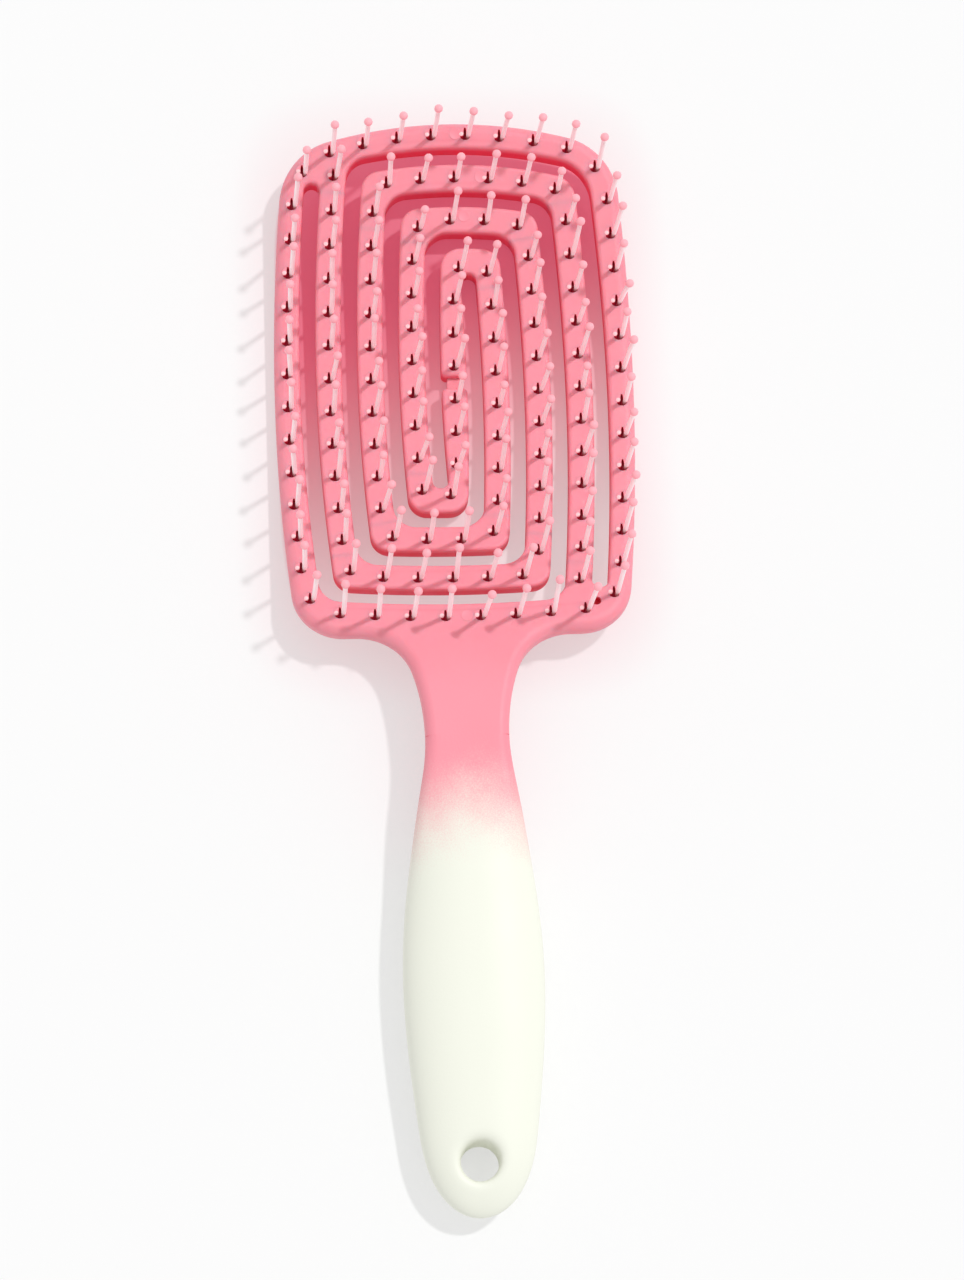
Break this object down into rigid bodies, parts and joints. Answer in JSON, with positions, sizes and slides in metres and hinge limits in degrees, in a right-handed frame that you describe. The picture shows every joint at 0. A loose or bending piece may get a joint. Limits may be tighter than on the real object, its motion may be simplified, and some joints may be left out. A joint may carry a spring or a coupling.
{
  "type": "detangling brush",
  "caption": "Paddle hair brush whose concave vented head is cut into a sprung double coil of strips with ball-tipped pins, on a rounded handle with a hang hole.",
  "frame": {"origin": "middle of the brush's box on the surface that it lies on, back down", "axes": "+Z the way the pins point, +Y towards the head's end, +X to the right seen from the pins"},
  "size_m": [0.081, 0.2478, 0.0326],
  "materials": {
    "head": "satin pink moulding",
    "handle": "satin ivory, sprayed pink towards the neck",
    "pins": "light pink nylon, slightly see-through",
    "anchors": "dark flat wire"
  },
  "bodies": {
    "body": {"handle": "handle", "head_frame": "head", "head_frame_pins": "pins", "head_frame_anchors": "anchors", "left_outer_leg": "head", "left_outer_leg_pins": "pins", "left_outer_leg_anchors": "anchors", "right_outer_leg": "head", "right_outer_leg_pins": "pins", "right_outer_leg_anchors": "anchors"},
    "outer_coil": {"foot_outer_bar": "head", "foot_outer_bar_pins": "pins", "foot_outer_bar_anchors": "anchors", "top_outer_bar": "head", "top_outer_bar_pins": "pins", "top_outer_bar_anchors": "anchors", "right_middle_leg": "head", "right_middle_leg_pins": "pins", "right_middle_leg_anchors": "anchors", "left_middle_leg": "head", "left_middle_leg_pins": "pins", "left_middle_leg_anchors": "anchors"},
    "inner_coil": {"top_inner_bar": "head", "top_inner_bar_pins": "pins", "top_inner_bar_anchors": "anchors", "foot_inner_bar": "head", "foot_inner_bar_pins": "pins", "foot_inner_bar_anchors": "anchors", "left_inner_leg": "head", "left_inner_leg_pins": "pins", "left_inner_leg_anchors": "anchors", "right_inner_leg": "head", "right_inner_leg_pins": "pins", "right_inner_leg_anchors": "anchors"},
    "core": {"core_bridge": "head", "lower_core": "head", "lower_core_pins": "pins", "lower_core_anchors": "anchors", "upper_core": "head", "upper_core_pins": "pins", "upper_core_anchors": "anchors"}
  },
  "joints": [
    {"name": "outer_coil_flex", "type": "slide", "parent": "body", "child": "outer_coil", "axis": [0, 0, 1], "range_m": [-0.0015, 0.0015], "stiffness_N_per_m": 1500, "deforming": ["left_outer_leg", "left_outer_leg_pins", "left_outer_leg_anchors", "right_outer_leg", "right_outer_leg_pins", "right_outer_leg_anchors"]},
    {"name": "inner_coil_flex", "type": "slide", "parent": "outer_coil", "child": "inner_coil", "axis": [0, 0, 1], "range_m": [-0.0015, 0.0015], "stiffness_N_per_m": 1500, "deforming": ["right_middle_leg", "right_middle_leg_pins", "right_middle_leg_anchors", "left_middle_leg", "left_middle_leg_pins", "left_middle_leg_anchors"]},
    {"name": "core_flex", "type": "slide", "parent": "inner_coil", "child": "core", "axis": [0, 0, 1], "range_m": [-0.0015, 0.0015], "stiffness_N_per_m": 1500, "deforming": ["left_inner_leg", "left_inner_leg_pins", "left_inner_leg_anchors", "right_inner_leg", "right_inner_leg_pins", "right_inner_leg_anchors"]}
  ]
}
